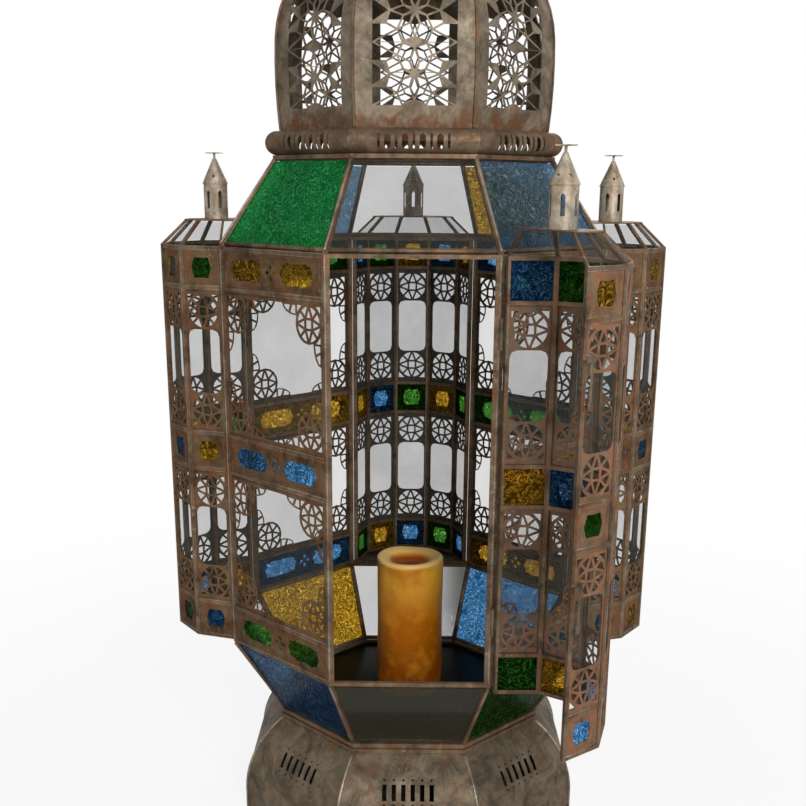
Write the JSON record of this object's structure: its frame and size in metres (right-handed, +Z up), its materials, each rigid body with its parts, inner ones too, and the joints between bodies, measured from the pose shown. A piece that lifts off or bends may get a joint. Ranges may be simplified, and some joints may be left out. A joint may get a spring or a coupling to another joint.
{
  "type": "lantern floor lamp",
  "caption": "Octagonal floor lantern with pierced metal screens, clear and coloured glass, faceted turrets, a turret door on hinges with two latches, a pierced dome and a pillar candle.",
  "frame": {"origin": "middle of the underside of the base", "axes": "+Z up along the lantern's axis, -Y out of the doorway, +X to the right seen from the front"},
  "size_m": [0.6862, 0.8055, 1.3637],
  "materials": {
    "pierced_sheet": "aged patina with rust tints",
    "frame_strip": "soldered strip, rust brown",
    "dark_sheet": "grey green patina over rust",
    "hardware": "aged plain metal",
    "clear_glass": "pebbled, slightly green",
    "blue_glass": "hammered",
    "green_glass": "hammered",
    "amber_glass": "hammered",
    "wax": "waxy, translucent at the rim",
    "wick": "burnt cotton"
  },
  "bodies": {
    "lantern": {"base_plate": "dark_sheet", "base_skirt": "dark_sheet", "neck_band": "frame_strip", "skirt_frame": "frame_strip", "skirt_glass_clear": "clear_glass", "skirt_glass_blue": "blue_glass", "skirt_glass_green": "green_glass", "skirt_glass_amber": "amber_glass", "floor_plate": "dark_sheet", "candle": "wax", "candle_wick": "wick", "corner_posts": "frame_strip", "wall_rails": "frame_strip", "front_left_screen": "pierced_sheet", "front_right_screen": "pierced_sheet", "rear_left_screen": "pierced_sheet", "rear_right_screen": "pierced_sheet", "window_glass": "clear_glass", "band_glass_amber": "amber_glass", "band_glass_blue": "blue_glass", "band_glass_green": "green_glass", "band_glass_clear": "clear_glass", "left_turret_frame": "frame_strip", "rear_turret_frame": "frame_strip", "right_turret_frame": "frame_strip", "left_turret_screen": "pierced_sheet", "rear_turret_screen": "pierced_sheet", "right_turret_screen": "pierced_sheet", "left_turret_glass": "clear_glass", "rear_turret_glass": "clear_glass", "right_turret_glass": "clear_glass", "left_turret_roof": "clear_glass", "rear_turret_roof": "clear_glass", "right_turret_roof": "clear_glass", "left_minaret": "dark_sheet", "rear_minaret": "dark_sheet", "right_minaret": "dark_sheet", "roof_frame": "frame_strip", "roof_glass_clear": "clear_glass", "roof_glass_green": "green_glass", "roof_glass_blue": "blue_glass", "roof_glass_amber": "amber_glass", "dome_ring": "dark_sheet", "dome_lattice": "dark_sheet", "dome_seams": "frame_strip", "dome_crown": "dark_sheet", "finial": "frame_strip", "hinge_plates": "hardware", "hinge_pins": "hardware"},
    "door": {"door_frame": "frame_strip", "door_screen": "pierced_sheet", "door_window_glass": "clear_glass", "door_roof": "clear_glass", "door_minaret": "dark_sheet", "door_glass_amber": "amber_glass", "door_glass_blue": "blue_glass", "door_glass_green": "green_glass", "hinge_straps": "hardware"},
    "latch_upper": {"upper_latch": "hardware"},
    "latch_lower": {"lower_latch": "hardware"}
  },
  "joints": [
    {"name": "door_hinge", "type": "hinge", "parent": "lantern", "child": "door", "pos_m": [0.107, -0.25346, 0.545], "axis": [0, 0, 1], "range_deg": [-110, 20]},
    {"name": "upper_latch_pivot", "type": "hinge", "parent": "door", "child": "latch_upper", "pos_m": [0.1838, -0.44771, 0.728], "axis": [-0.9063, 0.4226, 0], "range_deg": [0, 60]},
    {"name": "lower_latch_pivot", "type": "hinge", "parent": "door", "child": "latch_lower", "pos_m": [0.1838, -0.44771, 0.482], "axis": [-0.9063, 0.4226, 0], "range_deg": [0, 60]}
  ]
}
